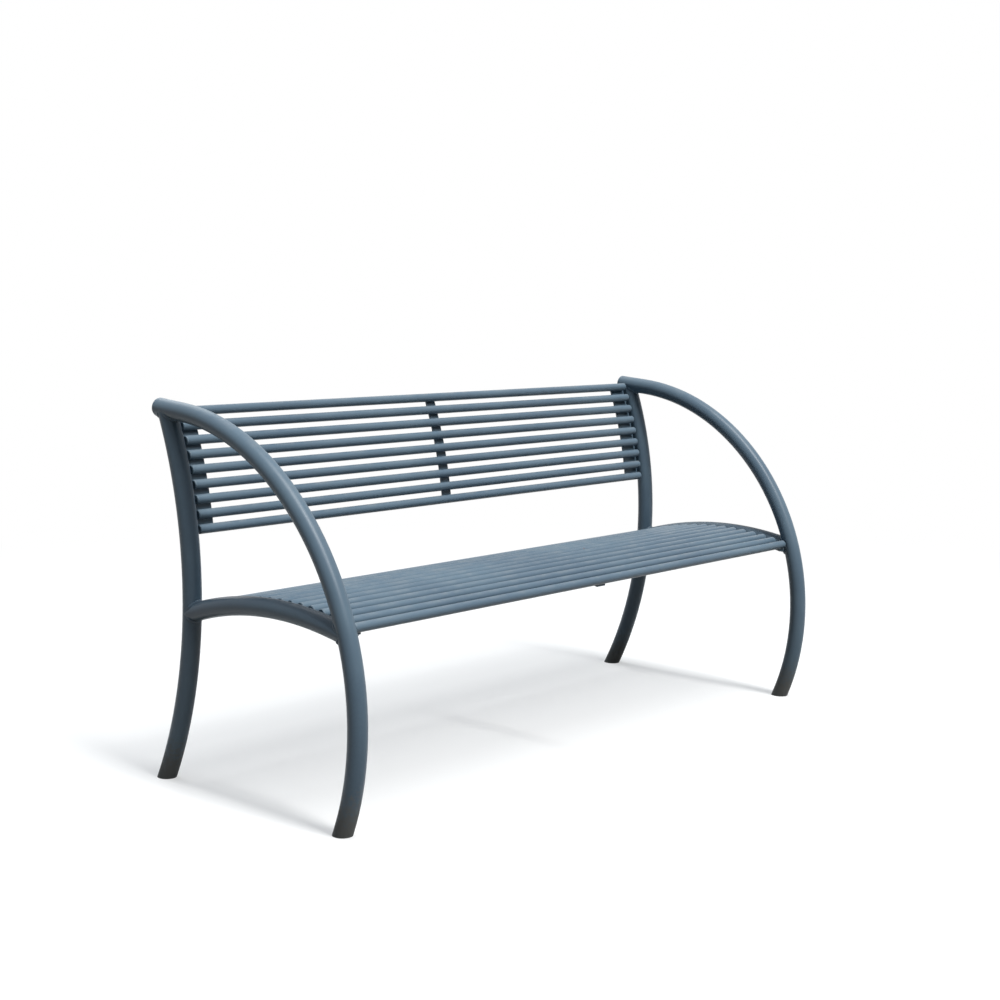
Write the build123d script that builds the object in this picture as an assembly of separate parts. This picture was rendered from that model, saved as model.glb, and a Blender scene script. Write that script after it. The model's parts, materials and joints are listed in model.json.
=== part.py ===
from build123d import *
import os
from math import acos, atan2, cos, degrees, hypot, radians, sin, sqrt

# Painted steel bench with arms
# Two side frames of bent round tube carry a seat and a back of straight, thinner tubes.
# The thin tubes lie on flat bars, and the outer bars are welded to the side frames.
# Lengths are millimetres and angles degrees. X runs along the bench, the front faces -Y, Z is up.
# Left is -X, as seen from in front of the bench.
# The origin is on the ground, in the middle of the length and of the depth.

# Side frames
frame_spacing = 1620.0          # between the middles of the two side frames
frame_diameter = 42.4
frame_wall = 2.6
foot_spread = 606.0             # from the middle of the front foot to the middle of the rear foot
front_bend_radius = 600.0       # the front leg and the arm share one bend
front_bend_height = 242.0       # height at which the front leg reaches furthest forward
rear_bend_radius = 1000.0
rear_bend_height = 474.0        # height at which the rear post reaches furthest forward
seat_bend_radius = 950.0        # the tube under the seat's edge is bent into a low crown
seat_crown_height = 446.0       # middle of that tube, at the crown
seat_crown_setback = 192.0      # from the middle of the front foot back to the crown
arm_rise_angle = 4.9            # the last stretch of the arm is straight and rises to the rear
arm_overhang = 22.7             # the arm runs this far past the middle of the rear post

# Plugs and caps of the side frames
foot_plug_depth = 12.0
arm_cap_thickness = 4.0
arm_cap_rounding = 2.5
arm_cap_spigot_length = 16.0
plug_clearance = 0.2            # between a plug or a spigot and the bore round it

# Seat and back tubes
tube_diameter = 21.3
tube_wall = 2.0
tube_pitch = 33.0
tube_end_gap = 4.8              # between the end of a tube and the side frame
back_tube_count = 9
back_lowest_height = 582.0      # middle of the lowest back tube
seat_tube_count = 15
seat_front_inset = 13.5         # from the middle of the front leg back to the front seat tube, along the seat
seat_tube_rise = 7.0            # seat tubes lie this much above the middle of the bent tube
tube_cap_thickness = 3.0
tube_cap_rounding = 2.4
tube_cap_spigot_length = 10.0

# Flat bars under the seat and behind the back
bar_thickness = 4.0
bar_overhang = 4.0              # a bar runs this far past the middle of its last tube
centre_bar_width = 30.0
seat_bar_reach = 46.0           # from the middle of the side frame in to the edge of the seat bar
back_plate_reach = 75.0         # the same for the wider plate behind the back

# Lugs on the front legs, under the front ends of the outer seat bars
lug_thickness = 3.5
lug_length = 26.0
lug_inset = 5.0                 # the lug's inner edge lies back from the bar's edge
lug_chamfer = 2.5
lug_gap = 0.3                   # under the bar, where a weld fills it

# Sizes that follow from the ones above
frame_radius = frame_diameter / 2
bore_radius = frame_radius - frame_wall
tube_radius = tube_diameter / 2
tube_bore_radius = tube_radius - tube_wall
tube_reach = frame_spacing / 2 - frame_radius - tube_end_gap
front_centre_offset = sqrt(front_bend_radius**2 - front_bend_height**2)
rear_centre_offset = foot_spread + sqrt(rear_bend_radius**2 - rear_bend_height**2)
front_most_offset = front_centre_offset - front_bend_radius - frame_radius
rear_inner_radius = rear_bend_radius - frame_radius
rear_most_offset = rear_centre_offset - sqrt(rear_inner_radius**2 - rear_bend_height**2)
front_foot_y = -(front_most_offset + rear_most_offset) / 2
front_centre = (front_foot_y + front_centre_offset, front_bend_height)
rear_centre = (front_foot_y + rear_centre_offset, rear_bend_height)
seat_centre = (front_foot_y + seat_crown_setback, seat_crown_height - seat_bend_radius)
seat_tube_bend = seat_bend_radius + seat_tube_rise
back_bar_bend = rear_bend_radius - tube_radius
seat_bar_bend = seat_tube_bend - tube_radius


# Points and angles on the bends. An angle is nought at the top of a bend and grows to the rear.
def on_bend(centre, radius, angle):
    """Y and Z of a point on a bend."""
    turn = radians(angle)
    return centre[0] + radius * sin(turn), centre[1] + radius * cos(turn)


def front_side_angle(centre, radius, height):
    """Angle of the point at a given height on the front half of a bend."""
    return -degrees(acos((height - centre[1]) / radius))


def arc_angle(length, radius):
    """Angle that a length covers on a bend."""
    return degrees(length / radius)


def crossing_angle(centre, radius, other_centre, other_radius, side):
    """Angle on the first bend where a second bend crosses it, on the side (1 or -1) that is asked for."""
    across = other_centre[0] - centre[0]
    up = other_centre[1] - centre[1]
    apart = hypot(across, up)
    towards = degrees(atan2(across, up))
    swing = degrees(acos((radius**2 + apart**2 - other_radius**2) / (2 * radius * apart)))
    return towards + side * swing


def line_crossing_angle(centre, radius, point, rise):
    """Angle on the front half of a bend where a straight line that rises through a point crosses it."""
    lean = radians(rise)
    height_over_centre = (point[1] - centre[1]) * cos(lean) - (point[0] - centre[0]) * sin(lean)
    return -degrees(acos(height_over_centre / radius)) - rise


# Where the tubes of a side frame start, end and meet
front_foot_angle = front_side_angle(front_centre, front_bend_radius, 0)
rear_foot_angle = front_side_angle(rear_centre, rear_bend_radius, 0)
arm_start = on_bend(front_centre, front_bend_radius, -arm_rise_angle)
post_top_angle = line_crossing_angle(rear_centre, rear_bend_radius, arm_start, arm_rise_angle)
post_top_y = on_bend(rear_centre, rear_bend_radius, post_top_angle)[0]
arm_straight_length = (post_top_y - arm_start[0]) / cos(radians(arm_rise_angle)) + arm_overhang
seat_front_angle = crossing_angle(seat_centre, seat_bend_radius, front_centre, front_bend_radius, -1)
seat_rear_angle = crossing_angle(seat_centre, seat_bend_radius, rear_centre, rear_bend_radius, -1)

# Where the thin tubes lie on their bends
seat_pitch_angle = arc_angle(tube_pitch, seat_tube_bend)
back_pitch_angle = arc_angle(tube_pitch, rear_bend_radius)
seat_tube_start = seat_front_angle + arc_angle(seat_front_inset, seat_tube_bend)
back_tube_start = front_side_angle(rear_centre, rear_bend_radius, back_lowest_height)
seat_tube_angles = [seat_tube_start + number * seat_pitch_angle for number in range(seat_tube_count)]
back_tube_angles = [back_tube_start + number * back_pitch_angle for number in range(back_tube_count)]
seat_bar_overhang = arc_angle(bar_overhang, seat_tube_bend)
back_bar_overhang = arc_angle(bar_overhang, rear_bend_radius)
seat_bar_span = (seat_tube_angles[0] - seat_bar_overhang, seat_tube_angles[-1] + seat_bar_overhang)
back_bar_span = (back_tube_angles[0] - back_bar_overhang, back_tube_angles[-1] + back_bar_overhang)


# Building shapes: a section is drawn with X along the bench and its height as the radius of the bend.
def carry_round(section, centre, start, end):
    """Solid that a section sweeps as it is carried round a bend from one angle to another."""
    turn = radians(start)
    face = Plane(origin=(0, *centre), x_dir=(1, 0, 0), z_dir=(0, -cos(turn), sin(turn))) * section
    return revolve(face, Axis((0, *centre), (-1, 0, 0)), end - start)


def ring(outer, inner):
    """Section of a tube, or of a round bar where the inner radius is nought.

    Two equal tubes that meet touch at their outermost points along X, which is a poor place for a seam,
    so the circles start a quarter turn away from there."""
    seam = Rot(Z=-90)
    return seam * Circle(outer) - seam * Circle(inner) if inner else seam * Circle(outer)


def bent_tube(side, bend, centre, start, end, outer, inner=0):
    """Tube or round bar in the plane of one side frame."""
    section = Pos(side * frame_spacing / 2, bend) * ring(outer, inner)
    return carry_round(section, centre, start, end)


def above_ground(shape):
    """The part of a shape that stands on or over the ground."""
    return split(shape, bisect_by=Plane.XY, keep=Keep.TOP)


def arm_plane(side, run=0):
    """Plane square to the straight stretch of an arm, this far along it, facing rearwards."""
    lean = radians(arm_rise_angle)
    middle = (side * frame_spacing / 2, arm_start[0] + run * cos(lean), arm_start[1] + run * sin(lean))
    return Plane(origin=middle, x_dir=(1, 0, 0), z_dir=(0, cos(lean), sin(lean)))


# Side frames
def leg_and_arm(side, outer=frame_radius, inner=0):
    """Front leg that bends over into the arm. The bend starts below the ground and is cut level with it."""
    start = front_foot_angle - arc_angle(frame_diameter, front_bend_radius)
    bend = bent_tube(side, front_bend_radius, front_centre, start, -arm_rise_angle, outer, inner)
    straight = extrude(arm_plane(side) * ring(outer, inner), amount=arm_straight_length)
    return above_ground(bend + straight)


def rear_post(side, outer=frame_radius, inner=0):
    """Rear leg and back post in one bent tube, before it is cut to fit under the arm."""
    start = rear_foot_angle - arc_angle(frame_diameter, rear_bend_radius)
    return above_ground(bent_tube(side, rear_bend_radius, rear_centre, start, post_top_angle, outer, inner))


def seat_support(side, outer=frame_radius, inner=0):
    """Bent tube from the front leg to the rear post, before its ends are cut to fit them."""
    return bent_tube(side, seat_bend_radius, seat_centre, seat_front_angle, seat_rear_angle, outer, inner)


def arm_end_cap(side):
    """Cap with a rounded rim on the rear end of an arm, with a spigot in the bore."""
    head = Cylinder(frame_radius, arm_cap_thickness, align=(Align.CENTER, Align.CENTER, Align.MIN))
    head = fillet(head.edges().sort_by(Axis.Z)[-1], arm_cap_rounding)
    spigot_radius = bore_radius - plug_clearance
    spigot = Cylinder(spigot_radius, arm_cap_spigot_length, align=(Align.CENTER, Align.CENTER, Align.MAX))
    return arm_plane(side, arm_straight_length) * (head + spigot)


def foot_plug(side, bend, centre, foot_angle):
    """Plug that closes the bore of a leg and lies flush with its cut end on the ground."""
    start = foot_angle - arc_angle(frame_diameter, bend)
    end = foot_angle + arc_angle(foot_plug_depth, bend)
    return above_ground(bent_tube(side, bend, centre, start, end, bore_radius - plug_clearance))


# Seat and back tubes
def straight_tube(place):
    """One thin tube along the bench, without its end caps."""
    reach = tube_reach - tube_cap_thickness
    end = Plane(origin=(-reach, *place), z_dir=(1, 0, 0))
    return extrude(end * ring(tube_radius, tube_bore_radius), amount=2 * reach)


def tube_cap():
    """Cap with a rounded rim for a thin tube, with a spigot in the bore; it looks along +Z."""
    head = Cylinder(tube_radius, tube_cap_thickness, align=(Align.CENTER, Align.CENTER, Align.MIN))
    head = fillet(head.edges().sort_by(Axis.Z)[-1], tube_cap_rounding)
    spigot_radius = tube_bore_radius - plug_clearance
    spigot = Cylinder(spigot_radius, tube_cap_spigot_length, align=(Align.CENTER, Align.CENTER, Align.MAX))
    return head + spigot


def tube_caps(side, places):
    """Caps on all the tube ends of one side of the seat or the back."""
    cap = tube_cap()
    reach = tube_reach - tube_cap_thickness
    ends = [Plane(origin=(side * reach, *place), z_dir=(side, 0, 0)) for place in places]
    return Compound(children=[end * cap for end in ends])


# Flat bars and lugs
def flat_bar(inner_x, outer_x, bend, centre, span):
    """Flat bar bent along a panel, its face against the thin tubes at the given bend radius."""
    width = outer_x - inner_x
    section = Pos((inner_x + outer_x) / 2, bend - bar_thickness / 2) * Rectangle(abs(width), bar_thickness)
    return carry_round(section, centre, *span)


def lug_section(side):
    """Section of a front lug under the seat bar, with its lower inner corner cut off."""
    middle = frame_spacing / 2
    inner = middle - seat_bar_reach + lug_inset
    top = seat_bar_bend - bar_thickness - lug_gap
    bottom = top - lug_thickness
    chamfer = [(inner + lug_chamfer, bottom), (inner, bottom + lug_chamfer)]
    corners = [(inner, top), (middle, top), (middle, bottom), *chamfer]
    return make_face(Polyline(*[(side * x, height) for x, height in corners], close=True))


def front_lug(side):
    """Lug under the front end of an outer seat bar, before it is cut to fit the leg."""
    front = seat_bar_span[0]
    return carry_round(lug_section(side), seat_centre, front, front + arc_angle(lug_length, seat_bar_bend))


# The whole bench
def side_frame(side, name):
    """Pieces of one side frame, each cut to fit against the ones that were there first."""
    arm_bar = leg_and_arm(side)
    post_bar = rear_post(side)
    support_bar = seat_support(side)
    middle = side * frame_spacing / 2
    seat_bar = flat_bar(middle - side * seat_bar_reach, middle, seat_bar_bend, seat_centre, seat_bar_span)
    back_plate = flat_bar(middle - side * back_plate_reach, middle, back_bar_bend, rear_centre, back_bar_span)
    return {
        f"{name}_front_leg_and_arm": leg_and_arm(side, inner=bore_radius),
        f"{name}_rear_post": rear_post(side, inner=bore_radius) - arm_bar,
        f"{name}_seat_support": seat_support(side, inner=bore_radius) - arm_bar - post_bar,
        f"{name}_arm_end_cap": arm_end_cap(side),
        f"{name}_front_foot_plug": foot_plug(side, front_bend_radius, front_centre, front_foot_angle),
        f"{name}_rear_foot_plug": foot_plug(side, rear_bend_radius, rear_centre, rear_foot_angle),
        f"{name}_seat_bar": seat_bar - arm_bar - post_bar - support_bar,
        f"{name}_back_plate": back_plate - arm_bar - post_bar,
        f"{name}_seat_lug": front_lug(side) - arm_bar - support_bar,
    }


def panels():
    """Thin tubes and middle bars of the seat and the back."""
    seat_places = [on_bend(seat_centre, seat_tube_bend, angle) for angle in seat_tube_angles]
    back_places = [on_bend(rear_centre, rear_bend_radius, angle) for angle in back_tube_angles]
    pieces = {}
    for number, place in enumerate(seat_places, 1):
        pieces[f"seat_tube_{number:02d}"] = straight_tube(place)
    for number, place in enumerate(back_places, 1):
        pieces[f"back_tube_{number:02d}"] = straight_tube(place)
    half_width = centre_bar_width / 2
    pieces["seat_centre_bar"] = flat_bar(-half_width, half_width, seat_bar_bend, seat_centre, seat_bar_span)
    pieces["back_centre_bar"] = flat_bar(-half_width, half_width, back_bar_bend, rear_centre, back_bar_span)
    for side, name in ((-1, "left"), (1, "right")):
        pieces[f"{name}_seat_tube_caps"] = tube_caps(side, seat_places)
        pieces[f"{name}_back_tube_caps"] = tube_caps(side, back_places)
    return pieces


bench = {**side_frame(-1, "left"), **side_frame(1, "right"), **panels()}
os.makedirs("parts", exist_ok=True)
for node, piece in bench.items():
    export_step(piece, f"parts/{node}.step")
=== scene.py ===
# %% [markdown]
# # A painted steel bench
# The real bench is all steel tube under one coat of satin, dark blue-grey paint.
# Two side frames of thick bent tube carry a seat and a back of thin straight tubes.
# The constructed model already has every tube, bar, plug and cap at its real size and place.
# What is left for this script is how the bench looks: the film of paint, its wear and dirt,
# the painted glints at the rims of the tube ends, and the weld beads that join the tubes.
# First the constructed model is loaded. Everything below is placed in its frame, in metres:
# X runs along the bench, the front faces -Y, and the ground is at Z = 0.

# %% Load the bench
import json
import math
import random

import bmesh
import bpy
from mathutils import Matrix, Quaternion, Vector


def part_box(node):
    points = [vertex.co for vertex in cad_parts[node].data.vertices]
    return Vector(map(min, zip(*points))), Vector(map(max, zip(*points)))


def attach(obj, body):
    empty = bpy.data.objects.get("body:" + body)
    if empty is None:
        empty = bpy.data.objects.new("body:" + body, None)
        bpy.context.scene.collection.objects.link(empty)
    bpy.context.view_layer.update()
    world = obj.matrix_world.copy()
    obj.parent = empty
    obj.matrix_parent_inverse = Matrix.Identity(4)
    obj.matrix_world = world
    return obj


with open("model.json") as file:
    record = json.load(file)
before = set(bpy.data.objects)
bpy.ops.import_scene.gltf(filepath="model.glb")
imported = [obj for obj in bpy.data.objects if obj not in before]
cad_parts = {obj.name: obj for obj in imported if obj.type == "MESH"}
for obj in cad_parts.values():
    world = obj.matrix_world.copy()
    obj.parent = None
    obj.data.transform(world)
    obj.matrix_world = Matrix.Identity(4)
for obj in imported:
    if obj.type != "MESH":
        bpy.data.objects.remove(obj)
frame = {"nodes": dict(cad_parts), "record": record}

bpy.context.view_layer.update()
nodes = frame["nodes"]

# %% [markdown]
# ## The camera
# The photograph was taken from the left of the bench's front, a little above the height of the arms.
# A camera could be placed by eye, but here its place and lens were worked out
# from the edges of the tubes in the photograph, so it is set by numbers:
# where it stands, which way it looks, and how long its lens is in pixels of the picture.
# The view axis doesn't meet the middle of the picture, so the lens is shifted a little.

# %% Place the camera
PHOTO_SIDE = 1000                          # the photograph is square, this many pixels wide
AXIS_PIXEL = (550, 585)                    # where the view axis meets the picture, from its top left
FOCAL_PIXELS = 1589
CAMERA_PLACE = Vector((-2.879, -2.655, 1.081))
CAMERA_AZIMUTH, CAMERA_ELEVATION, CAMERA_ROLL = (math.radians(a) for a in (-48.75, 10.1, 0.42))

camera = bpy.data.objects.new("camera", bpy.data.cameras.new("camera"))
bpy.context.scene.collection.objects.link(camera)
bpy.context.scene.camera = camera
camera.data.lens = camera.data.sensor_width * FOCAL_PIXELS / PHOTO_SIDE
camera.data.shift_x = 0.5 - AXIS_PIXEL[0] / PHOTO_SIDE
camera.data.shift_y = AXIS_PIXEL[1] / PHOTO_SIDE - 0.5


def towards(azimuth, elevation):
    """Direction away from the bench. Azimuth nought is in front of it, and grows to its right."""
    level = math.cos(elevation)
    return Vector((math.sin(azimuth) * level, -math.cos(azimuth) * level, math.sin(elevation)))


aim = towards(CAMERA_AZIMUTH, CAMERA_ELEVATION).to_track_quat("Z", "Y")
camera.location = CAMERA_PLACE
camera.rotation_mode = "QUATERNION"
camera.rotation_quaternion = aim @ Quaternion((0, 0, 1), CAMERA_ROLL)
print(f"lens {camera.data.lens:.1f} mm")

# %% [markdown]
# ## Small helpers for node trees
# A node tree can be drawn by hand in the editor or built by code.
# In code, most lines would only make a node and connect it, so a few helpers take that over.
# Each takes plain numbers or the output of another node, and gives back the output of its own node.

# %% Helpers for numbers, shaders and materials
def connect(tree, value, socket):
    """Sets a socket to a plain value, or links another node's output to it."""
    if isinstance(value, bpy.types.NodeSocket):
        tree.links.new(value, socket)
    elif value is not None:
        socket.default_value = value


def maths(tree, operation, first, second=None, clamp=False):
    """Output of a Math node."""
    node = tree.nodes.new("ShaderNodeMath")
    node.operation, node.use_clamp = operation, clamp
    connect(tree, first, node.inputs[0])
    connect(tree, second, node.inputs[1])
    return node.outputs[0]


def remap(tree, value, low, high, to_low=0.0, to_high=1.0):
    """Output of a Map Range node that eases a value from one range to another, and stops at its ends."""
    node = tree.nodes.new("ShaderNodeMapRange")
    node.interpolation_type = "SMOOTHSTEP"
    for number, part in enumerate((value, low, high, to_low, to_high)):
        connect(tree, part, node.inputs[number])
    return node.outputs["Result"]


def mix_shaders(tree, amount, first, second):
    """Output of a Mix Shader node."""
    node = tree.nodes.new("ShaderNodeMixShader")
    for number, part in enumerate((amount, first, second)):
        connect(tree, part, node.inputs[number])
    return node.outputs["Shader"]


def new_material(name):
    """A material with only a Principled shader, its node tree and that shader."""
    material = bpy.data.materials.new(name)
    material.use_nodes = True
    return material, material.node_tree, material.node_tree.nodes["Principled BSDF"]


# %% [markdown]
# ## Background and sky
# The bench stands in the open. Its undersides only get what comes back from the ground,
# so they are dark. The sky could be a picture of clouds, but a ramp of three colours from the horizon
# to the zenith is enough to shade a round tube softly.
# The background is white for the camera and for reflections, through Light Path,
# so it shows behind the bench and mirrors faintly in the paint, but lights nothing.
# All other rays see the sky.

# %% Hang up the sky
# Colours at the horizon, 30 degrees above it and overhead.
SKY = {0.0: (0.03, 0.036, 0.043, 1), 0.5: (0.085, 0.11, 0.138, 1), 1.0: (0.33, 0.43, 0.54, 1)}
WHITE = (1, 1, 1, 1)


def shows_background(tree):
    """One for the rays that show the background: those of the camera, of mirrors and through glass."""
    rays = tree.nodes.new("ShaderNodeLightPath").outputs
    mirror_or_glass = maths(tree, "MAXIMUM", rays["Is Glossy Ray"], rays["Is Transmission Ray"])
    return maths(tree, "MAXIMUM", rays["Is Camera Ray"], mirror_or_glass)


world = bpy.data.worlds.new("studio")
bpy.context.scene.world = world
world.use_nodes = True
world_tree = world.node_tree
direction = world_tree.nodes.new("ShaderNodeTexCoord")
height = world_tree.nodes.new("ShaderNodeSeparateXYZ")
sky_ramp = world_tree.nodes.new("ShaderNodeValToRGB")
while len(sky_ramp.color_ramp.elements) < len(SKY):
    sky_ramp.color_ramp.elements.new(0.5)
for element, (place, colour) in zip(sky_ramp.color_ramp.elements, SKY.items()):
    element.position, element.color = place, colour
sky_light = world_tree.nodes["Background"]
world_tree.links.new(direction.outputs["Generated"], height.inputs["Vector"])
world_tree.links.new(height.outputs["Z"], sky_ramp.inputs["Fac"])
world_tree.links.new(sky_ramp.outputs["Color"], sky_light.inputs["Color"])
backdrop = world_tree.nodes.new("ShaderNodeBackground")
backdrop.inputs["Color"].default_value = WHITE
backdrop.inputs["Strength"].default_value = 1
sky_or_backdrop = mix_shaders(
    world_tree, shows_background(world_tree),
    sky_light.outputs["Background"], backdrop.outputs["Background"])
world_tree.links.new(sky_or_backdrop, world_tree.nodes["World Output"].inputs["Surface"])
print(f"a sky of {len(SKY)} colours behind a white backdrop")

# %% [markdown]
# ## Lamps
# A brighter part of the sky, in front of the bench, draws one long band of light along the arms
# and the thin tubes. Two large, soft lamps stand for it: a tall one high up and a wide one lower down.
# They could stand close, but then each arm would throw its shadow elsewhere.
# They stand far away, nearly in the plane of the side frames, so that both arms shade their posts alike.
# A weak third lamp behind the bench gives its back a little shape.

# %% Set up the lamps
LAMP_AIM = Vector((0, 0, 0.45))


def soft_lamp(name, azimuth, elevation, distance, width, height, power):
    """An oblong lamp that looks at the bench, its angles in degrees."""
    lamp = bpy.data.objects.new(name, bpy.data.lights.new(name, "AREA"))
    bpy.context.scene.collection.objects.link(lamp)
    lamp.data.shape, lamp.data.energy = "RECTANGLE", power
    lamp.data.size, lamp.data.size_y = width, height
    away = towards(math.radians(azimuth), math.radians(elevation))
    lamp.location = LAMP_AIM + away * distance
    lamp.rotation_mode = "QUATERNION"
    lamp.rotation_quaternion = away.to_track_quat("Z", "Y")


soft_lamp("key_lamp", azimuth=-2, elevation=70, distance=30, width=4, height=17, power=10400)
soft_lamp("front_lamp", azimuth=-4, elevation=43, distance=30, width=6, height=9, power=4300)
soft_lamp("rear_lamp", azimuth=160, elevation=35, distance=9, width=4, height=4, power=130)
print(f"{len(bpy.data.lights)} lamps")

# %% [markdown]
# ## Floor
# The floor is one flat square, a grid of a single face, large enough that its edge is never seen.
# It has two looks. The camera sees it pale, with the bench's shadow, and it fades to white
# away from the bench. The light that it throws back has the darker, warm grey of bare ground.

# %% Lay the floor
FLOOR_REACH = 30                           # from its middle to each side
FLOOR_FADE = (1.5, 3.8)                    # distances from the bench between which the floor turns white
FLOOR_PALE = (0.8, 0.8, 0.79, 1)
FLOOR_SHADOW_SHARE = 0.5                   # how much of the bench's shadow the floor keeps
FLOOR_BOUNCE = (0.075, 0.058, 0.04, 1)

floor_shape = bmesh.new()
bmesh.ops.create_grid(floor_shape, x_segments=1, y_segments=1, size=FLOOR_REACH)
floor_mesh = bpy.data.meshes.new("floor")
floor_shape.to_mesh(floor_mesh)
floor_shape.free()
floor = bpy.data.objects.new("floor", floor_mesh)
bpy.context.scene.collection.objects.link(floor)

floor_finish, floor_tree, ground = new_material("floor")
ground.inputs["Base Color"].default_value = FLOOR_BOUNCE
ground.inputs["Roughness"].default_value = 1
ground.inputs["Specular IOR Level"].default_value = 0
pale = floor_tree.nodes.new("ShaderNodeBsdfDiffuse")
pale.inputs["Color"].default_value = FLOOR_PALE
white = floor_tree.nodes.new("ShaderNodeEmission")
white.inputs["Color"].default_value = WHITE
white.inputs["Strength"].default_value = 1
floor_place = floor_tree.nodes.new("ShaderNodeTexCoord")
distance = floor_tree.nodes.new("ShaderNodeVectorMath")
distance.operation = "LENGTH"
floor_tree.links.new(floor_place.outputs["Object"], distance.inputs[0])
fade = remap(floor_tree, distance.outputs["Value"], *FLOOR_FADE, 1 - FLOOR_SHADOW_SHARE, 1.0)
pale_to_white = mix_shaders(floor_tree, fade, pale.outputs["BSDF"], white.outputs["Emission"])
floor_look = mix_shaders(floor_tree, shows_background(floor_tree), ground.outputs["BSDF"], pale_to_white)
floor_tree.links.new(floor_look, floor_tree.nodes["Material Output"].inputs["Surface"])
floor_mesh.materials.append(floor_finish)
print(f"a floor {2 * FLOOR_REACH} m wide, of {len(floor_mesh.polygons)} face")

# %% [markdown]
# ## Effects that the finishes share
# The paint on the frames, on the thin tubes and on the flat bars is the same coat,
# so its texture and its wear are made once, as node groups, and each finish sets its own amounts.
# A group gives out only heights and masks. The shader itself stays in each material.
# Every pattern reads the place of a point in the bench's frame, in metres, so its size is a real size.

# %% Helpers for groups and patterns
def new_group(name, inputs, outputs):
    """An empty node group with float sockets beside its Place vector, and its input and output nodes."""
    group = bpy.data.node_groups.new(name, "ShaderNodeTree")
    sockets = group.interface
    sockets.new_socket("Place", in_out="INPUT", socket_type="NodeSocketVector")
    for socket, value in inputs.items():
        sockets.new_socket(socket, in_out="INPUT", socket_type="NodeSocketFloat").default_value = value
    for socket in outputs:
        sockets.new_socket(socket, in_out="OUTPUT", socket_type="NodeSocketFloat")
    return group, group.nodes.new("NodeGroupInput").outputs, group.nodes.new("NodeGroupOutput").inputs


def noise(tree, place, size, detail=2.0, rough=0.5):
    """Noise from 0 to 1 whose lumps are about this size, in metres."""
    node = tree.nodes.new("ShaderNodeTexNoise")
    per_metre = 1 / size if isinstance(size, (int, float)) else maths(tree, "DIVIDE", 1.0, size)
    connect(tree, place, node.inputs["Vector"])
    connect(tree, per_metre, node.inputs["Scale"])
    node.inputs["Detail"].default_value = detail
    node.inputs["Roughness"].default_value = rough
    return node.outputs["Fac"]


# %% [markdown]
# **Orange peel.** Powder paint melts in an oven and stays very slightly wavy, like the skin of an orange.
# It could be a displaced mesh, but the waves are only hundredths of a millimetre high,
# so they are a height for a Bump node: fine lumps of a few millimetres on slow, wide waves.

# %% Orange peel
LUMP_SHARE = 0.18                          # how high the lumps are beside the waves
orange_peel, given, result = new_group("orange_peel", {"Lump Size": 0.004, "Wave Size": 0.045}, ["Height"])
lumps = noise(orange_peel, given["Place"], given["Lump Size"], detail=1.0)
waves = noise(orange_peel, given["Place"], given["Wave Size"], detail=0.0)
lump_height = maths(orange_peel, "MULTIPLY", lumps, LUMP_SHARE)
orange_peel.links.new(maths(orange_peel, "ADD", lump_height, waves), result["Height"])
print(f"orange peel from {len(orange_peel.nodes)} nodes")

# %% [markdown]
# **Uneven colour.** Sun and rain fade a coat of paint in wide, soft patches,
# and fine specks of dirt break it up close to. Both could be painted by hand, but noise has no seam
# on a bent tube. The group gives both as numbers from 0 to 1. Plain noise mostly stays
# near its middle, so that part of it is stretched.

# %% Uneven colour
NOISE_MIDDLE = (0.3, 0.7)
uneven_colour, given, result = new_group(
    "uneven_colour", {"Patch Size": 0.22, "Speck Size": 0.006}, ["Patches", "Specks"])
patches = noise(uneven_colour, given["Place"], given["Patch Size"], detail=3.0, rough=0.6)
specks = noise(uneven_colour, given["Place"], given["Speck Size"], detail=3.0, rough=0.65)
uneven_colour.links.new(remap(uneven_colour, patches, *NOISE_MIDDLE), result["Patches"])
uneven_colour.links.new(remap(uneven_colour, specks, *NOISE_MIDDLE), result["Specks"])
print(f"uneven colour from {len(uneven_colour.nodes)} nodes")

# %% [markdown]
# **Dust.** Dust settles on what faces up and is washed off the rest.
# The mask is how far the surface faces up, broken by noise into thin drifts.

# %% Settled dust
DUST_LEAN = (0.35, 1.0)                # how far up a surface faces where dust starts and where most lies
DRIFT_RANGE = (0.35, 0.75)                 # the noise between bare paint and a full drift
settled_dust, given, result = new_group("settled_dust", {"Drift Size": 0.05, "Amount": 0.5}, ["Mask"])
facing = settled_dust.nodes.new("ShaderNodeNewGeometry")
facing_parts = settled_dust.nodes.new("ShaderNodeSeparateXYZ")
settled_dust.links.new(facing.outputs["Normal"], facing_parts.inputs["Vector"])
faces_up = remap(settled_dust, facing_parts.outputs["Z"], *DUST_LEAN)
drift_noise = noise(settled_dust, given["Place"], given["Drift Size"], detail=5.0, rough=0.7)
drifts = remap(settled_dust, drift_noise, *DRIFT_RANGE)
lies_there = maths(settled_dust, "MULTIPLY", faces_up, drifts)
settled_dust.links.new(maths(settled_dust, "MULTIPLY", lies_there, given["Amount"]), result["Mask"])
print(f"dust from {len(settled_dust.nodes)} nodes")

# %% [markdown]
# **Grime near the ground.** Rain splashes grit onto the legs. It is thick at the ground,
# thins out with height, and ends in a ragged line of specks. A plain fade would end in a soft band,
# so noise is added to the height before the edge is drawn.

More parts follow.
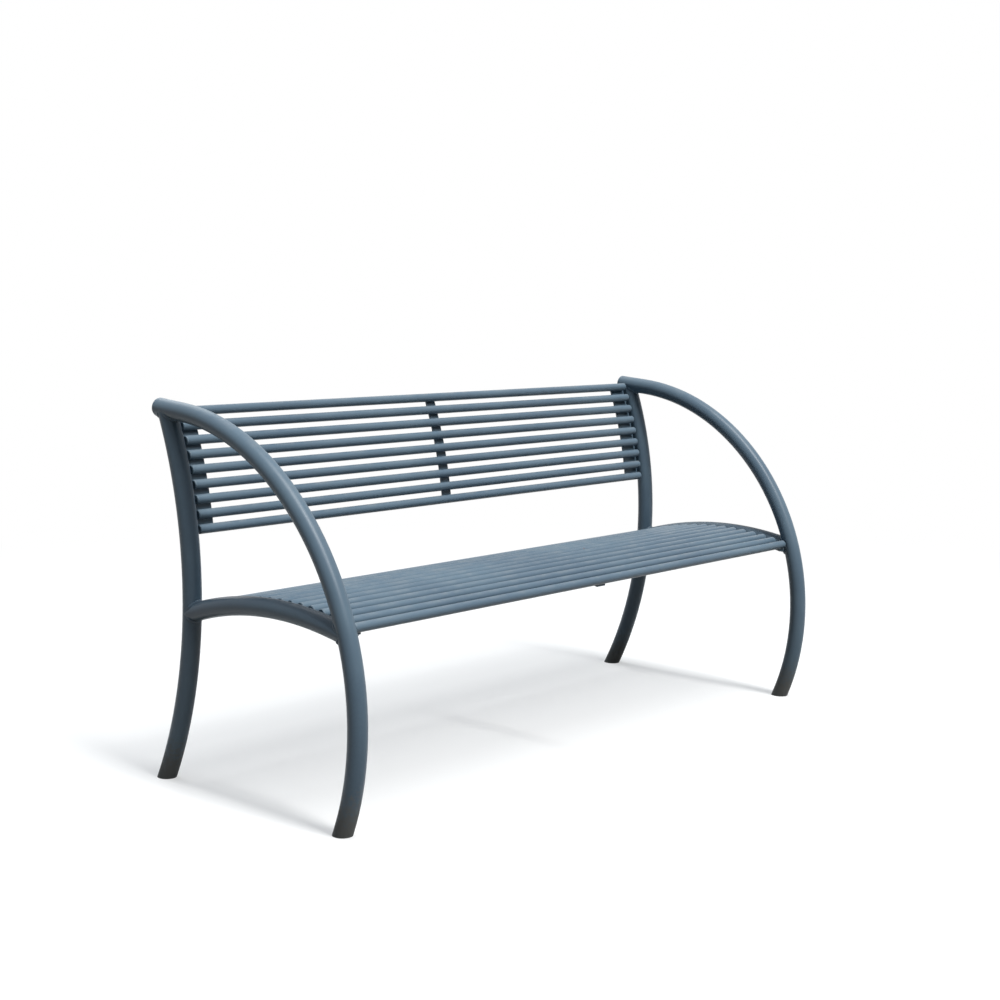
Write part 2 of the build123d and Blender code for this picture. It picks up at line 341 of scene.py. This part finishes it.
# %% Grime near the ground
GRIME_EDGE = (0.75, 1.35)                  # lowness and splashes together, where grime starts and is full
GRIME_FADE = 0.25                          # share of the reach over which the last specks fade out
ground_grime, given, result = new_group(
    "ground_grime", {"Reach": 0.16, "Splash Size": 0.012, "Amount": 0.7}, ["Mask"])
place_parts = ground_grime.nodes.new("ShaderNodeSeparateXYZ")
ground_grime.links.new(given["Place"], place_parts.inputs["Vector"])
share_of_reach = maths(ground_grime, "DIVIDE", place_parts.outputs["Z"], given["Reach"])
low_down = maths(ground_grime, "SUBTRACT", 1.0, share_of_reach)
splashes = noise(ground_grime, given["Place"], given["Splash Size"], detail=4.0, rough=0.7)
ragged_edge = remap(ground_grime, maths(ground_grime, "ADD", low_down, splashes), *GRIME_EDGE)
none_above = maths(ground_grime, "MULTIPLY", ragged_edge, remap(ground_grime, low_down, 0.0, GRIME_FADE))
ground_grime.links.new(maths(ground_grime, "MULTIPLY", none_above, given["Amount"]), result["Mask"])
print(f"grime from {len(ground_grime.nodes)} nodes")

# %% [markdown]
# ** Worn edges and painted glints.** Hands and shoes rub the paint thin where a surface turns sharply,
# and the lighter colour there also paints in the glints that the rounded rims of the tube ends catch.
# A Bevel node gives the normal that a rounded edge would have. Where it leans away from the true one,
# there is an edge, and noise breaks it up. On a curved surface it can lean a little too,
# so a small lean doesn't count.

# %% Worn edges and painted glints
EDGE_LEAN = (0.07, 0.2)                    # lean where an edge starts to count, and where it counts in full
# Rubbed paint turns lighter, and that lighter colour also stands for painted glints on the rims.
RUBBED_AND_GLINT_RANGE = (0.42, 0.6)                 # the noise between whole and rubbed paint
BEVEL_SAMPLES = 4
worn_and_glinting_edges, given, result = new_group(
    "worn_and_glinting_edges", {"Width": 0.0018, "Patch Size": 0.01, "Amount": 0.8}, ["Mask"])
true_normal = worn_and_glinting_edges.nodes.new("ShaderNodeNewGeometry")
rounded = worn_and_glinting_edges.nodes.new("ShaderNodeBevel")
rounded.samples = BEVEL_SAMPLES
worn_and_glinting_edges.links.new(given["Width"], rounded.inputs["Radius"])
agree = worn_and_glinting_edges.nodes.new("ShaderNodeVectorMath")
agree.operation = "DOT_PRODUCT"
worn_and_glinting_edges.links.new(true_normal.outputs["Normal"], agree.inputs[0])
worn_and_glinting_edges.links.new(rounded.outputs["Normal"], agree.inputs[1])
lean = remap(worn_and_glinting_edges, maths(worn_and_glinting_edges, "SUBTRACT", 1.0, agree.outputs["Value"]), *EDGE_LEAN)
rub_and_glint_noise = noise(worn_and_glinting_edges, given["Place"], given["Patch Size"], detail=4.0, rough=0.65)
rubbed_and_glinting_edge = maths(worn_and_glinting_edges, "MULTIPLY", lean, remap(worn_and_glinting_edges, rub_and_glint_noise, *RUBBED_AND_GLINT_RANGE))
worn_and_glinting_edges.links.new(maths(worn_and_glinting_edges, "MULTIPLY", rubbed_and_glinting_edge, given["Amount"]), result["Mask"])
print(f"worn edges from {len(worn_and_glinting_edges.nodes)} nodes")

# %% [markdown]
# **Chips.** Here and there a knock has broken a fleck of paint away.
# A Voronoi pattern cuts the surface into cells. A random number of each cell picks the few that have
# a chip, and the distance from the cell's middle, roughened by noise, draws it.
# More cells are picked low down, where feet and wheels reach.

# %% Chips
RAGGED_SIZE, RAGGED_DEPTH = 0.0025, 0.0022         # the jags round a chip, and how far they reach in
SMALLEST_CHIP_SHARE = 0.5                          # the smallest chip's share of the usual size
chip_inputs = {"Cell Size": 0.05, "Chip Size": 0.0022, "Share": 0.06, "Low Share": 0.3, "Low Reach": 0.2}
paint_chips, given, result = new_group("paint_chips", chip_inputs, ["Mask"])
cells = paint_chips.nodes.new("ShaderNodeTexVoronoi")
paint_chips.links.new(given["Place"], cells.inputs["Vector"])
paint_chips.links.new(maths(paint_chips, "DIVIDE", 1.0, given["Cell Size"]), cells.inputs["Scale"])
cell_numbers = paint_chips.nodes.new("ShaderNodeSeparateColor")
paint_chips.links.new(cells.outputs["Color"], cell_numbers.inputs["Color"])
chip_place = paint_chips.nodes.new("ShaderNodeSeparateXYZ")
paint_chips.links.new(given["Place"], chip_place.inputs["Vector"])
share_here = remap(
    paint_chips, chip_place.outputs["Z"], 0.0, given["Low Reach"], given["Low Share"], given["Share"])
picked = maths(paint_chips, "LESS_THAN", cell_numbers.outputs["Red"], share_here)
from_middle = maths(paint_chips, "MULTIPLY", cells.outputs["Distance"], given["Cell Size"])
jag_noise = noise(paint_chips, given["Place"], RAGGED_SIZE, detail=3.0)
jags = maths(paint_chips, "MULTIPLY", jag_noise, RAGGED_DEPTH)
size_share = maths(paint_chips, "ADD", cell_numbers.outputs["Green"], SMALLEST_CHIP_SHARE)
own_size = maths(paint_chips, "MULTIPLY", given["Chip Size"], size_share)
inside = maths(paint_chips, "LESS_THAN", maths(paint_chips, "ADD", from_middle, jags), own_size)
paint_chips.links.new(maths(paint_chips, "MULTIPLY", inside, picked), result["Mask"])
print(f"chips from {len(paint_chips.nodes)} nodes, and {len(bpy.data.node_groups)} shared effects in all")

# %% [markdown]
# ## The paint
# The paint is a satin powder coat, dark blue-grey, and not a metal, so Metallic stays at nought.
# Its colour starts from one value. The patches make it lighter and darker by a few parts in a hundred
# and the specks even that out, dust and grime lie on it, worn edges show it thinner and lighter,
# which also paints in the glints at the rims, and chips show the rusty steel below. The colours come first.

# %% Colours of the paint and of what lies on it
PAINT_COLOUR = (0.088, 0.134, 0.176, 1)
FADED_COLOUR = (0.102, 0.151, 0.192, 1)
DEEP_COLOUR = (0.075, 0.116, 0.157, 1)
DUST_COLOUR = (0.31, 0.31, 0.29, 1)
GRIME_COLOUR = (0.13, 0.12, 0.1, 1)
# Worn paint is lighter; this colour also stands for the painted glints on the rims of the tube ends.
WORN_AND_GLINT_COLOUR = (0.3, 0.34, 0.37, 1)
STEEL_RUST_COLOUR = (0.16, 0.065, 0.03, 1)
SPECK_SHARE = 0.35                         # how far a speck goes back to the plain colour
print("a plain colour, three for its age and three for what lies on it or under it")

# %% [markdown]
# Three helpers follow. One puts a shared effect into a material, one mixes two colours by a mask,
# and one turns a height into a normal for the shader.

# %% Helpers for the finishes
def place_effect(tree, group, place, **amounts):
    """A node group placed in a material, with its Place linked and its amounts set. Gives its outputs."""
    node = tree.nodes.new("ShaderNodeGroup")
    node.node_tree = group
    tree.links.new(place, node.inputs["Place"])
    for socket, value in amounts.items():
        node.inputs[socket.replace("_", " ")].default_value = value
    return node.outputs


def blend_colour(tree, amount, first, second):
    """Output of a Mix node for colours."""
    node = tree.nodes.new("ShaderNodeMix")
    node.data_type = "RGBA"
    connect(tree, amount, node.inputs[0])
    connect(tree, first, node.inputs[6])
    connect(tree, second, node.inputs[7])
    return node.outputs[2]


def bumped(tree, height, depth, under=None):
    """Normal of a surface with this height pattern, this deep in metres, on top of an earlier normal."""
    node = tree.nodes.new("ShaderNodeBump")
    node.inputs["Strength"].default_value = 1
    node.inputs["Distance"].default_value = depth
    tree.links.new(height, node.inputs["Height"])
    connect(tree, under, node.inputs["Normal"])
    return node.outputs["Normal"]


# %% [markdown]
# The masks that change the colour also make the coat rougher, because dust, grime and bare steel
# don't shine. The peel and the chips' depth go through Bump nodes, the chips on top of the peel.
# One function paints all the steel, so that the frames, the tubes and the bars differ in amounts only.

# %% Paint the steel
SATIN_ROUGHNESS = (0.32, 0.41)             # in the deepest patches, and in the most faded ones
ROUGHER = {"specks": 0.04, "worn_and_glint": 0.1, "dusty": 0.35, "grimy": 0.4, "chipped": 0.45}
PAINT_SHINE = 0.26                         # the satin coat mirrors less than clear varnish would
PEEL_DEPTH = 0.00009
CHIP_DEPTH = 0.0002


def painted_steel(name, patch_size, dust, grime, wear_and_glint, chips, lump_size=0.004):
    """Satin paint on steel, with its own amounts of dust, grime, worn edges with painted glints, and chips.
    """
    material, tree, shader = new_material(name)
    place = tree.nodes.new("ShaderNodeTexCoord").outputs["Object"]
    peel = place_effect(tree, orange_peel, place, Lump_Size=lump_size)
    uneven = place_effect(tree, uneven_colour, place, Patch_Size=patch_size)
    masks = {
        "specks": uneven["Specks"],
        "worn_and_glint": place_effect(tree, worn_and_glinting_edges, place, Amount=wear_and_glint)["Mask"],
        "dusty": place_effect(tree, settled_dust, place, Amount=dust)["Mask"],
        "grimy": place_effect(tree, ground_grime, place, Amount=grime)["Mask"],
        "chipped": place_effect(tree, paint_chips, place, Share=chips)["Mask"],
    }

    colour = blend_colour(tree, uneven["Patches"], DEEP_COLOUR, FADED_COLOUR)
    speck_amount = remap(tree, masks["specks"], 0.0, 1.0, 0.0, SPECK_SHARE)
    colour = blend_colour(tree, speck_amount, colour, PAINT_COLOUR)
    # Worn edges turn lighter here, which also paints in glints on the rims.
    colour = blend_colour(tree, masks["worn_and_glint"], colour, WORN_AND_GLINT_COLOUR)
    colour = blend_colour(tree, masks["dusty"], colour, DUST_COLOUR)
    colour = blend_colour(tree, masks["grimy"], colour, GRIME_COLOUR)
    colour = blend_colour(tree, masks["chipped"], colour, STEEL_RUST_COLOUR)
    tree.links.new(colour, shader.inputs["Base Color"])

    rough = remap(tree, uneven["Patches"], 0.0, 1.0, *SATIN_ROUGHNESS)
    for what, mask in masks.items():
        rough = maths(tree, "ADD", rough, maths(tree, "MULTIPLY", mask, ROUGHER[what]), clamp=True)
    tree.links.new(rough, shader.inputs["Roughness"])
    shader.inputs["Specular IOR Level"].default_value = PAINT_SHINE

    peeled = bumped(tree, peel["Height"], PEEL_DEPTH)
    whole = maths(tree, "SUBTRACT", 1.0, masks["chipped"])
    tree.links.new(bumped(tree, whole, CHIP_DEPTH, peeled), shader.inputs["Normal"])
    return material


# The wear amounts also set how much painted glint shows at the rims and edges.
frame_finish = painted_steel(
    "frame_paint_finish", patch_size=0.25, dust=0.2, grime=0.7, wear_and_glint=0.7, chips=0.05)
tube_finish = painted_steel(
    "tube_paint_finish", patch_size=0.35, dust=0.25, grime=0.0, wear_and_glint=0.6, chips=0.02)
bar_finish = painted_steel(
    "bar_paint_finish", patch_size=0.15, dust=0.3, grime=0.0, wear_and_glint=0.8, chips=0.04)
print(f"three finishes of one paint, the frame's from {len(frame_finish.node_tree.nodes)} nodes")

# %% [markdown]
# ## The plugs in the leg ends
# The legs are closed by black plastic plugs, flush with the ground. Moulded plastic has a fine, even grain
# from its mould, and these are scuffed and dusty near the ground. The grain is too fine to model,
# so a noise gives it its bump.

# %% Plastic for the plugs
PLUG_COLOUR = (0.02, 0.02, 0.022, 1)
PLUG_SCUFF_COLOUR = (0.09, 0.088, 0.083, 1)
PLUG_ROUGHNESS = (0.5, 0.75)               # in smooth plastic and in specks
PLUG_GRAIN_SIZE, PLUG_GRAIN_DEPTH = 0.0009, 0.00005

plug_finish, plug_tree, plug_shader = new_material("foot_plug_plastic_finish")
plug_place = plug_tree.nodes.new("ShaderNodeTexCoord").outputs["Object"]
plug_grime = place_effect(plug_tree, ground_grime, plug_place, Amount=0.6, Splash_Size=0.005)["Mask"]
plug_uneven = place_effect(plug_tree, uneven_colour, plug_place, Patch_Size=0.01, Speck_Size=0.002)
scuffed = maths(plug_tree, "MULTIPLY", plug_uneven["Patches"], plug_grime)
plug_colour = blend_colour(plug_tree, scuffed, PLUG_COLOUR, PLUG_SCUFF_COLOUR)
plug_tree.links.new(plug_colour, plug_shader.inputs["Base Color"])
plug_rough = remap(plug_tree, plug_uneven["Specks"], 0.0, 1.0, *PLUG_ROUGHNESS)
plug_tree.links.new(plug_rough, plug_shader.inputs["Roughness"])
grain = noise(plug_tree, plug_place, PLUG_GRAIN_SIZE)
plug_tree.links.new(bumped(plug_tree, grain, PLUG_GRAIN_DEPTH), plug_shader.inputs["Normal"])
print(f"plastic from {len(plug_tree.nodes)} nodes")

# %% [markdown]
# ## The finishes on the bench
# Each piece of the constructed model comes with a slot that names what it is made of.
# The slots could be filled by hand, but their names say which finish belongs there, so a loop does it.

# %% Put the finishes on the bench
FINISHES = {
    "frame_paint": frame_finish, "tube_paint": tube_finish, "bar_paint": bar_finish,
    "foot_plug_plastic": plug_finish,
}
finished = 0
for node in nodes.values():
    for slot in node.material_slots:
        slot.material = FINISHES[slot.material.name]
        finished += 1
print(f"{finished} pieces have their finish")

# %% [markdown]
# ## Where the tubes of a side frame meet
# The side frames are welded. A tube that ends on another is cut to a saddle shape, and a weld bead runs
# round it in the corner. To lay a bead there, the script needs the places where the tubes' middle lines
# cross. The bends are arcs of circles, so a circle with a few questions to ask it is enough:
# where is a point on it, where does it cross another bend or a straight tube, and which way does it run?

# %% A bend, seen from the side
class Bend:
    """A circle in the plane of a side frame, seen from the side: its middle (y, z) and its radius."""

    def __init__(self, middle_y, middle_z, radius):
        self.middle, self.radius = Vector((middle_y, middle_z)), radius

    def point(self, angle, radius=None):
        """Point at an angle, nought at the top and growing rearwards, on the bend or at another radius."""
        return self.middle + (radius or self.radius) * Vector((math.sin(angle), math.cos(angle)))

    def crossing(self, other):
        """The front one of the two points where two bends cross."""
        apart = other.middle - self.middle
        along = (self.radius**2 - other.radius**2 + apart.length_squared) / (2 * apart.length)
        aside = math.sqrt(self.radius**2 - along**2)
        step = apart.normalized()
        across = Vector((-step.y, step.x)) * aside
        return min((self.middle + step * along + way * across for way in (1, -1)), key=lambda p: p.x)

    def line_crossing(self, start, way):
        """The front one of the two points where a straight line from a start crosses the bend."""
        from_middle = start - self.middle
        half = from_middle.dot(way)
        run = -half - math.sqrt(half**2 - from_middle.length_squared + self.radius**2)
        return start + run * way

    def tangent(self, point):
        """Direction of the bend at a point on it, pointing rearwards over the top of the circle."""
        out = (point - self.middle).normalized()
        return Vector((out.y, -out.x))


# %% [markdown]
# A few sizes of the bench give the bends: the radius of each, and how high its middle is.
# The feet are where the model's mounts are, and each leg's bend meets the ground there.

# %% The bends and their crossings
FRAME_TUBE_RADIUS = 0.0212
FRONT_BEND_RADIUS, FRONT_BEND_HEIGHT = 0.6, 0.242
REAR_BEND_RADIUS, REAR_BEND_HEIGHT = 1.0, 0.474
SEAT_BEND_RADIUS, SEAT_CROWN_HEIGHT, SEAT_CROWN_SETBACK = 0.95, 0.446, 0.192
ARM_RISE = math.radians(4.9)

# Rounded to a micrometre, so that feet on one side count as one side.
feet = sorted({tuple(round(part, 6) for part in mount["pos_m"]) for mount in frame["record"]["mounts"]})
foot_sides = sorted({foot[0] for foot in feet})
front_foot_y = min(foot[1] for foot in feet)
rear_foot_y = max(foot[1] for foot in feet)


def leg_bend(foot_y, radius, height):
    """The bend of a leg, its middle at this height and behind the foot that it stands on."""
    return Bend(foot_y + math.sqrt(radius**2 - height**2), height, radius)


front_bend = leg_bend(front_foot_y, FRONT_BEND_RADIUS, FRONT_BEND_HEIGHT)
rear_bend = leg_bend(rear_foot_y, REAR_BEND_RADIUS, REAR_BEND_HEIGHT)
seat_bend = Bend(front_foot_y + SEAT_CROWN_SETBACK, SEAT_CROWN_HEIGHT - SEAT_BEND_RADIUS, SEAT_BEND_RADIUS)
seat_front = seat_bend.crossing(front_bend)
seat_rear = seat_bend.crossing(rear_bend)
arm_start = front_bend.point(-ARM_RISE)
arm_way = Vector((math.cos(ARM_RISE), math.sin(ARM_RISE)))
post_top = rear_bend.line_crossing(arm_start, arm_way)
print(f"the seat's bend meets the front leg {seat_front.y:.3f} m above the ground, "
      f"and the post meets the arm at {post_top.y:.3f} m")

# %% [markdown]
# ## The line of a saddle
# The line where two tubes of one size meet is a saddle: two halves of an ellipse that join at the sides.
# It could be drawn by cutting one mesh with the other, but its points follow from one formula:
# at each angle round the ending tube, how far along its axis the main tube's wall lies.
# The corner between the two halves is eased a little, as a welder's hand would.

# %% Points of a saddle
BEAD_RADIUS = 0.0034
DROP_LENGTH = 0.0045
DROP_SWELL = 0.08                          # share of its radius by which a bead swells at each drop
BEAD_WOBBLE = 0.05                         # share of its radius by which it varies by chance
POINTS_PER_DROP = 4
SADDLE_CORNER = 0.12                       # eases the corner at each side of the saddle
SADDLE_STRETCH = 1.2                       # a saddle is about this many times as long as the tube is round
# The thickest bead stays inside the tubes' sides.
SADDLE_REACH = FRAME_TUBE_RADIUS - BEAD_RADIUS * (1 + DROP_SWELL + BEAD_WOBBLE)


def saddle(x, joint, leaving, main):
    """Points of the line where a tube that leaves a joint this way meets the main tube's wall."""
    away = Vector((0, *leaving))
    beside = Vector((0, -leaving.y, leaving.x))
    wall = Vector((0, -main.y, main.x))
    wall = wall if wall.dot(away) > 0 else -wall
    length = 2 * math.pi * FRAME_TUBE_RADIUS * SADDLE_STRETCH
    count = POINTS_PER_DROP * round(length / DROP_LENGTH)
    points = []
    for number in range(count):
        angle = 2 * math.pi * number / count
        level, side = math.cos(angle), math.sin(angle)
        eased = math.hypot(level, SADDLE_CORNER)
        run = FRAME_TUBE_RADIUS * (eased - level * beside.dot(wall)) / away.dot(wall)
        aside = max(-SADDLE_REACH, min(SADDLE_REACH, FRAME_TUBE_RADIUS * side))
        points.append(Vector((x + aside, *joint)) + away * run + FRAME_TUBE_RADIUS * level * beside)
    return points


print(f"beads {2000 * BEAD_RADIUS:.1f} mm thick, in drops {1000 * DROP_LENGTH:.1f} mm long")

# %% [markdown]
# ## Weld beads at the joints of the side frames
# A real bead is a row of small, overlapping drops of steel that the torch left behind it,
# and the paint covers them. It could be a mesh with each drop modelled, but a curve with a round section
# is light and easy to change, and each of its points carries its own radius,
# so the radius swells with each drop. A little chance keeps the drops from being all alike.

# %% Beads round the saddles
BEAD_END_SHARE = 0.55                      # an open bead's ends have this share of its radius
FRAME_BEAD_SIDES = 2                       # a curve's bevel resolution: higher is rounder
CHANCE_SEED = 7

chance = random.Random(CHANCE_SEED)


def bead(name, runs, radius, finish, closed=False, sides=1):
    """A painted weld bead along each run of points, with its drops, as one piece of the bench."""
    curve = bpy.data.curves.new(name, "CURVE")
    curve.dimensions, curve.use_fill_caps = "3D", not closed
    curve.bevel_depth, curve.bevel_resolution = radius, sides
    for run in runs:
        spline = curve.splines.new("POLY")
        spline.points.add(len(run) - 1)
        spline.use_cyclic_u = closed
        travelled = 0
        for number, (point, place) in enumerate(zip(spline.points, run)):
            travelled += (place - run[number - 1]).length if number else 0
            point.co = (*place, 1)
            swell = DROP_SWELL * math.cos(2 * math.pi * travelled / DROP_LENGTH)
            point.radius = 1 + swell + chance.uniform(-BEAD_WOBBLE, BEAD_WOBBLE)
        if not closed:
            spline.points[0].radius = spline.points[-1].radius = BEAD_END_SHARE
    piece = bpy.data.objects.new(name, curve)
    bpy.context.scene.collection.objects.link(piece)
    curve.materials.append(finish)
    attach(piece, "root")


weld_finish = painted_steel(
    "weld_paint_finish", patch_size=0.25, dust=0.25, grime=0.0, wear_and_glint=0.3, chips=0.05, lump_size=0.003)
tube_joints = {
    "seat_front": (seat_front, seat_bend.tangent(seat_front), front_bend.tangent(seat_front)),
    "seat_rear": (seat_rear, -seat_bend.tangent(seat_rear), rear_bend.tangent(seat_rear)),
    "post_top": (post_top, -rear_bend.tangent(post_top), arm_way),
}
for x in foot_sides:
    side_name = "left" if x < 0 else "right"
    for joint_name, (joint, leaving, main) in tube_joints.items():
        bead(f"{side_name}_{joint_name}_weld", [saddle(x, joint, leaving, main)], BEAD_RADIUS,
             weld_finish, closed=True, sides=FRAME_BEAD_SIDES)
print(f"{len(foot_sides) * len(tube_joints)} beads round the joints of the side frames")

# %% [markdown]
# ## Beads between the thin tubes and the flat bars
# Each thin tube lies across three flat bars and is welded to them on both of its sides.
# These beads are short and there are many, so each has only a few points and faces,
# and all the beads of one bar are one piece. A bead lies in the corner between the tube and the bar's face.
# Its middle is as far from the face as from the tube's wall, which gives its place beside the tube.

# %% Where a bead lies beside a thin tube
SHORT_BEAD_RADIUS = 0.0018
SUNK_SHARE = 0.6                           # the bead's middle is this share of its radius off the metal
TUBE_END_MARGIN = 0.004
SHORT_BEAD_POINTS = 5


def middle_of(tube):
    """Middle line of a thin tube, as seen from the side, and the tube's radius."""
    low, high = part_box(tube)
    return Vector(((low.y + high.y) / 2, (low.z + high.z) / 2)), (high.z - low.z) / 2


def spread(start, end, count):
    """Evenly spaced points from one end to the other."""
    return [start.lerp(end, number / (count - 1)) for number in range(count)]


def crossing_beads(tubes, bend, bar):
    """Runs of points for the beads on both sides of each tube where it crosses a bar."""
    bar_low, bar_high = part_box(bar)
    tube_low, tube_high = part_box(tubes[0])
    start = max(bar_low.x, tube_low.x) + TUBE_END_MARGIN
    end = min(bar_high.x, tube_high.x) - TUBE_END_MARGIN
    off = SHORT_BEAD_RADIUS * SUNK_SHARE
    runs = []
    for number, tube in enumerate(tubes):
        middle, radius = middle_of(tube)
        inwards = (bend.middle - middle).normalized()
        aside = math.sqrt(4 * radius * off)
        for way in (-1, 1):
            past_the_bar = (number == 0 and way < 0) or (number == len(tubes) - 1 and way > 0)
            if past_the_bar:
                continue
            corner = middle + inwards * (radius - off) + bend.tangent(middle) * way * aside
            runs.append(spread(Vector((start, *corner)), Vector((end, *corner)), SHORT_BEAD_POINTS))
    return runs


seat_tubes = sorted(name for name in nodes if name.startswith("seat_tube_"))
back_tubes = sorted(name for name in nodes if name.startswith("back_tube_"))
print(f"{len(seat_tubes)} seat tubes and {len(back_tubes)} back tubes lie across the bars")

# %% [markdown]
# The outer bars and the plates are also welded to the frame tubes.
# A full bead would warp such thin plate, so a welder stitches it: short beads with gaps between them.
# They follow the bend at the radius of the bar's hidden face, where it meets the frame tube.

# %% Beads along the flat bars
BAR_THICKNESS = 0.004
STITCH_LENGTH, STITCH_SPACING, STITCH_POINTS = 0.024, 0.085, 9


def stitches(bend, radius, x, first, last):
    """Runs of points for short beads spaced along a bend, between the places of two tubes."""
    start, end = (math.atan2(place.x - bend.middle.x, place.y - bend.middle.y) for place in (first, last))
    count = round((end - start) * radius / STITCH_SPACING)
    half = STITCH_LENGTH / radius / 2
    runs = []
    for number in range(count):
        middle = start + (end - start) * (number + 0.5) / count
        angles = [middle + half * (2 * step / (STITCH_POINTS - 1) - 1) for step in range(STITCH_POINTS)]
        runs.append([Vector((x, *bend.point(angle, radius))) for angle in angles])
    return runs


bars = {
    "seat_centre_bar": (seat_tubes, seat_bend), "back_centre_bar": (back_tubes, rear_bend),
    "left_seat_bar": (seat_tubes, seat_bend), "right_seat_bar": (seat_tubes, seat_bend),
    "left_back_plate": (back_tubes, rear_bend), "right_back_plate": (back_tubes, rear_bend),
}
bead_count = 0
for bar, (tubes, bend) in bars.items():
    runs = crossing_beads(tubes, bend, bar)
    if "centre" not in bar:
        x = foot_sides[0] if bar.startswith("left") else foot_sides[1]
        (first, tube_radius), (last, _) = middle_of(tubes[0]), middle_of(tubes[-1])
        hidden_face = (first - bend.middle).length - tube_radius - BAR_THICKNESS
        from_middle = bend.radius - hidden_face
        reach = math.sqrt(FRAME_TUBE_RADIUS**2 - from_middle**2)
        runs += stitches(bend, hidden_face, x - math.copysign(reach, x), first, last)
    bead(f"{bar}_welds", runs, SHORT_BEAD_RADIUS, weld_finish)
    bead_count += len(runs)
print(f"{bead_count} short beads on {len(bars)} bars")

# %% [markdown]
# ## The end of the script
# The colours are shown plainly.

# %% The end
bpy.context.scene.view_settings.view_transform = "Standard"
bpy.context.view_layer.update()
